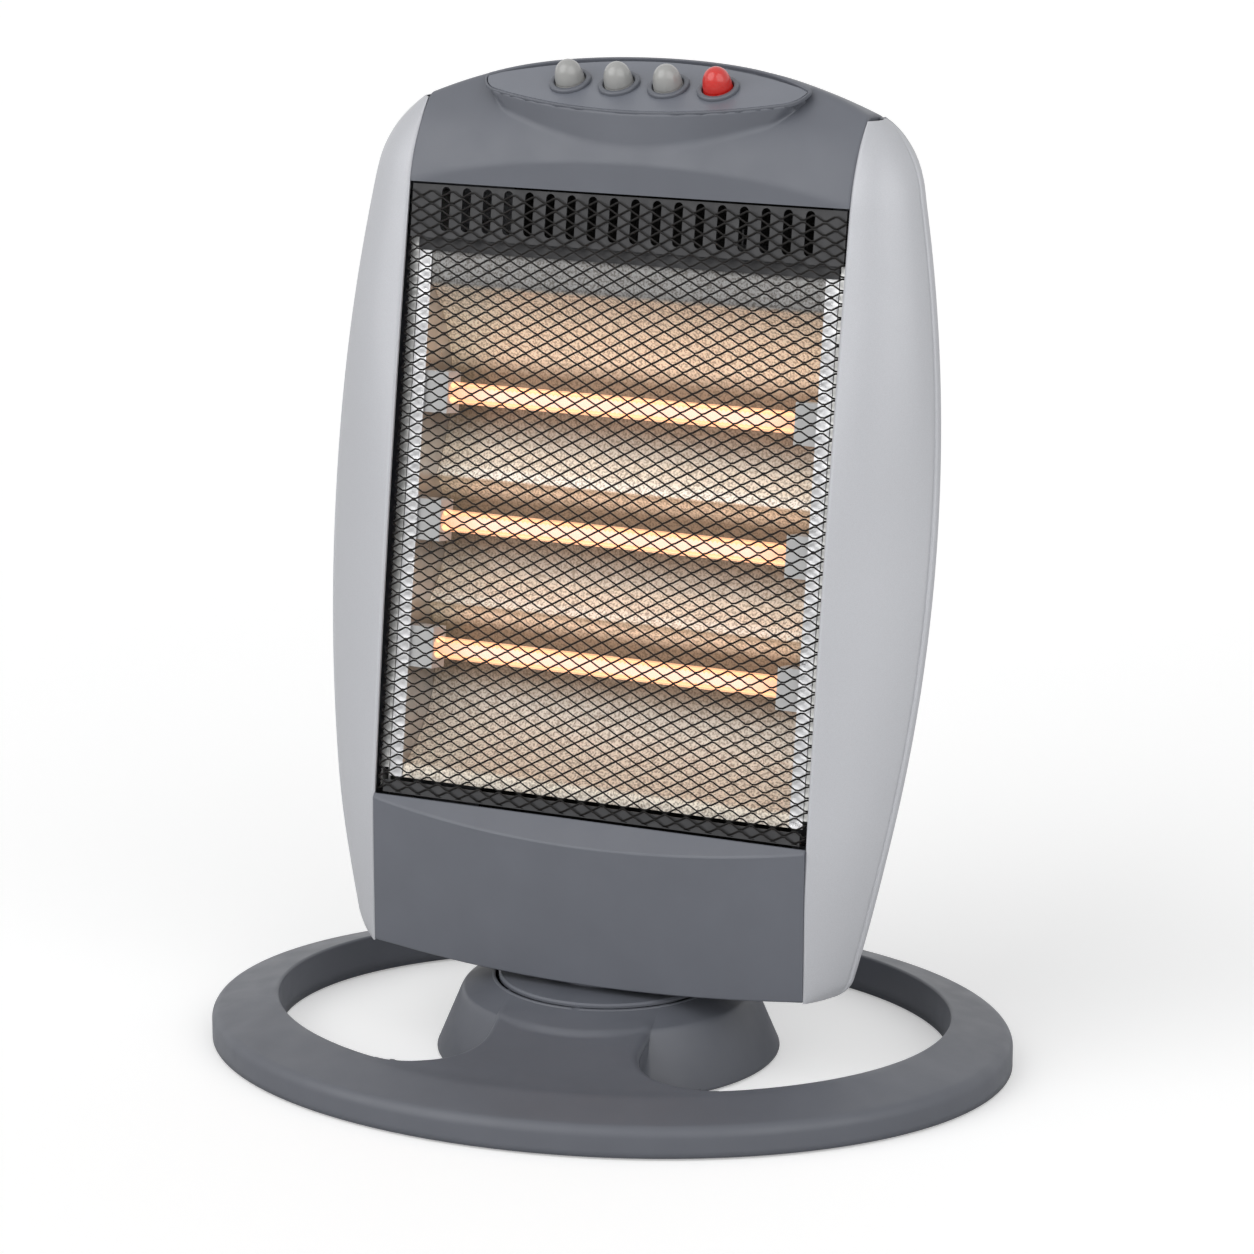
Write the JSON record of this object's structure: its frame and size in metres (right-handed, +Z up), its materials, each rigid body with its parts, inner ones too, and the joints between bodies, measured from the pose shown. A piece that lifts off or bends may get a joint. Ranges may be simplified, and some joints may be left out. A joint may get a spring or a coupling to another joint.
{
  "type": "oscillating halogen heater",
  "caption": "Free-standing halogen heater: leaning mesh-guarded lamp head with control panel on a swinging turntable over an oval ring base.",
  "frame": {"origin": "on the floor under the turntable axis, at the centre of the oval base", "axes": "+X to the right of the base seen from its front, -Y to the front of the base, +Z up along the turntable axis"},
  "size_m": [0.396, 0.306, 0.474],
  "materials": {
    "dark_plastic": "satin dark grey",
    "silver_plastic": "satin silver grey",
    "button_grey": "soft gloss grey",
    "signal_red": "gloss red",
    "rubber": "matt black",
    "white_plastic": "natural white",
    "bright_steel": "plated",
    "zinc_steel": "zinc-coated sheet",
    "dark_steel": "heat-proof dark paint",
    "reflector": "embossed bright sheet",
    "lamp_glass": "clear quartz",
    "filament": "hot tungsten coil",
    "ceramic": "unglazed steatite",
    "black_plastic": "moulded black"
  },
  "bodies": {
    "base": {"base_moulding": "dark_plastic", "base_cover": "dark_plastic", "rubber_feet": "rubber", "base_screws": "bright_steel", "cord_gland": "rubber", "slide_ring": "white_plastic", "swing_motor": "zinc_steel", "motor_screws": "bright_steel"},
    "crank": {"crank": "white_plastic"},
    "head": {"turntable": "dark_plastic", "retaining_washer": "bright_steel", "swing_arm": "bright_steel", "hub_screws": "bright_steel", "bottom_tray": "dark_plastic", "tray_screws": "bright_steel", "lower_panel": "dark_plastic", "side_panel_left": "silver_plastic", "side_panel_right": "silver_plastic", "rear_cover": "dark_plastic", "rear_cover_screws": "bright_steel", "top_cap": "dark_plastic", "control_panel": "dark_plastic", "button_bezels": "dark_plastic", "switch_block": "white_plastic", "switch_bracket": "bright_steel", "switch_screws": "bright_steel", "chassis_left": "zinc_steel", "chassis_right": "zinc_steel", "grille": "dark_steel", "heat_shield": "dark_steel", "lower_shield": "dark_steel", "reflector": "reflector", "reflector_end_left": "reflector", "reflector_end_right": "reflector", "lamp_top": "lamp_glass", "lamp_middle": "lamp_glass", "lamp_bottom": "lamp_glass", "filaments": "filament", "ceramic_ends": "ceramic", "lamp_terminals": "bright_steel", "thermal_cutout": "black_plastic", "terminal_block": "white_plastic", "tilt_switch": "black_plastic"},
    "heat_button_1": {"heat_button_1": "button_grey"},
    "heat_button_2": {"heat_button_2": "button_grey"},
    "heat_button_3": {"heat_button_3": "button_grey"},
    "swing_button": {"swing_button": "signal_red"}
  },
  "joints": [
    {"name": "swing", "type": "hinge", "parent": "base", "child": "head", "pos_m": [0, 0, 0.037], "axis": [0, 0, 1], "range_deg": [-23, 41]},
    {"name": "crank_turn", "type": "hinge", "parent": "base", "child": "crank", "pos_m": [0, 0.026, 0.02], "axis": [0, 0, 1], "range_deg": [-87.4, 155.8]},
    {"name": "heat_button_1_press", "type": "slide", "parent": "head", "child": "heat_button_1", "axis": [0.071, 0.4484, -0.891], "range_m": [0, 0.003], "stiffness_N_per_m": 300, "springref_m": -0.0015},
    {"name": "heat_button_2_press", "type": "slide", "parent": "head", "child": "heat_button_2", "axis": [0.071, 0.4484, -0.891], "range_m": [0, 0.003], "stiffness_N_per_m": 300, "springref_m": -0.0015},
    {"name": "heat_button_3_press", "type": "slide", "parent": "head", "child": "heat_button_3", "axis": [0.071, 0.4484, -0.891], "range_m": [0, 0.003], "stiffness_N_per_m": 300, "springref_m": -0.0015},
    {"name": "swing_button_press", "type": "slide", "parent": "head", "child": "swing_button", "axis": [0.071, 0.4484, -0.891], "range_m": [0, 0.003], "stiffness_N_per_m": 300, "springref_m": -0.0015}
  ],
  "couplings": [
    {"joint": "crank_turn", "follows": "swing", "ratio": 3.8}
  ]
}
